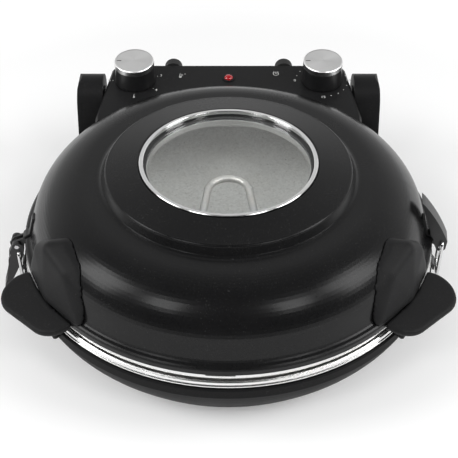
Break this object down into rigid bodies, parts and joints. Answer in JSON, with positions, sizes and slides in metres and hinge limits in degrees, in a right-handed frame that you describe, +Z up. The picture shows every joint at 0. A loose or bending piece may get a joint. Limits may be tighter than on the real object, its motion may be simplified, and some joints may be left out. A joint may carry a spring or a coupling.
{
  "type": "electric pizza maker",
  "caption": "Round tabletop pizza oven: low base with baking stone, domed hinged lid with round window, turning knobs on a rear housing, side handles and latches.",
  "frame": {"origin": "centre of the overall box in plan, on the plane that the feet stand on", "axes": "+Z up, front (away from the hinge) towards -Y, +X to the right seen from the front"},
  "size_m": [0.3764, 0.3786, 0.135],
  "materials": {
    "black_paint": "satin black",
    "bright_sheet": "bright",
    "stone": "fired cordierite stone; matte_plastic stands in for it",
    "tube": "heat-tinted sheath",
    "zinc": "plated sheet",
    "cover_plastic": "fine grain",
    "screw_steel": "plated",
    "rubber": "matt",
    "black_plastic": "satin",
    "handle_plastic": "fine grain",
    "pin_steel": "ground",
    "latch_black": "powder coat",
    "wire": "bright wire",
    "glass": "clear",
    "bright_ring": "bright",
    "switch_case": "moulded",
    "red_lens": "translucent red",
    "knob_black": "satin",
    "knob_cap": "turned"
  },
  "bodies": {
    "base": {"base_shell": "black_paint", "base_pan": "bright_sheet", "pizza_stone": "stone", "lower_element": "tube", "lower_element_clips": "zinc", "lower_heat_shield": "zinc", "bottom_cover": "cover_plastic", "bottom_screws": "screw_steel", "rubber_feet": "rubber", "hinge_block": "black_plastic", "hinge_block_cover": "cover_plastic", "hinge_arm_left": "black_plastic", "hinge_arm_right": "black_plastic", "hinge_pin_left": "pin_steel", "hinge_pin_right": "pin_steel", "wing_left": "handle_plastic", "wing_right": "handle_plastic", "wing_screws": "screw_steel", "latch_catch_left": "latch_black", "latch_catch_right": "latch_black", "cord_gland": "black_plastic"},
    "lid": {"lid_shell": "black_paint", "lid_reflector": "bright_sheet", "window_gasket": "rubber", "window_glass": "glass", "window_bezel": "bright_ring", "upper_element": "tube", "upper_element_clips": "zinc", "control_housing": "black_plastic", "housing_cover": "cover_plastic", "housing_screws": "screw_steel", "thermostat_body": "switch_case", "timer_body": "switch_case", "lamp_holder": "black_plastic", "lamp_lens": "red_lens", "rear_bumpers": "rubber", "grip_left": "handle_plastic", "grip_right": "handle_plastic", "grip_screws": "screw_steel", "latch_bracket_left": "latch_black", "latch_bracket_right": "latch_black", "latch_pin_left": "pin_steel", "latch_pin_right": "pin_steel"},
    "thermostat_dial": {"thermostat_knob": "knob_black", "thermostat_cap": "knob_cap", "thermostat_shaft": "pin_steel"},
    "timer_dial": {"timer_knob": "knob_black", "timer_cap": "knob_cap", "timer_shaft": "pin_steel"},
    "lever_left": {"latch_lever_left": "latch_black"},
    "lever_right": {"latch_lever_right": "latch_black"},
    "wire_left": {"latch_wire_left": "wire"},
    "wire_right": {"latch_wire_right": "wire"}
  },
  "joints": [
    {"name": "lid_hinge", "type": "hinge", "parent": "base", "child": "lid", "pos_m": [0.00543, 0.15225, 0.088], "axis": [-1, 0, 0], "range_deg": [0, 90]},
    {"name": "thermostat_turn", "type": "hinge", "parent": "lid", "child": "thermostat_dial", "pos_m": [-0.08357, 0.15365, 0.103], "axis": [0, 0.0872, -0.9962], "range_deg": [0, 270]},
    {"name": "timer_turn", "type": "hinge", "parent": "lid", "child": "timer_dial", "pos_m": [0.09443, 0.15365, 0.103], "axis": [0, 0.0872, -0.9962], "range_deg": [0, 270]},
    {"name": "latch_right_turn", "type": "hinge", "parent": "lid", "child": "lever_right", "pos_m": [0.1826, -0.0375, 0.065], "axis": [0.1219, 0.9925, 0], "range_deg": [0, 186]},
    {"name": "latch_left_turn", "type": "hinge", "parent": "lid", "child": "lever_left", "pos_m": [-0.17174, -0.0375, 0.065], "axis": [-0.1219, 0.9925, 0], "range_deg": [0, 186]},
    {"name": "wire_right_swing", "type": "hinge", "parent": "lever_right", "child": "wire_right", "pos_m": [0.18309, -0.03757, 0.0706], "axis": [0.1219, 0.9925, 0], "range_deg": [-186, 0]},
    {"name": "wire_left_swing", "type": "hinge", "parent": "lever_left", "child": "wire_left", "pos_m": [-0.17067, -0.03737, 0.05948], "axis": [-0.1219, 0.9925, 0], "range_deg": [-186, 0]}
  ],
  "couplings": [
    {"joint": "wire_right_swing", "follows": "latch_right_turn", "ratio": -1},
    {"joint": "wire_left_swing", "follows": "latch_left_turn", "ratio": -1}
  ]
}
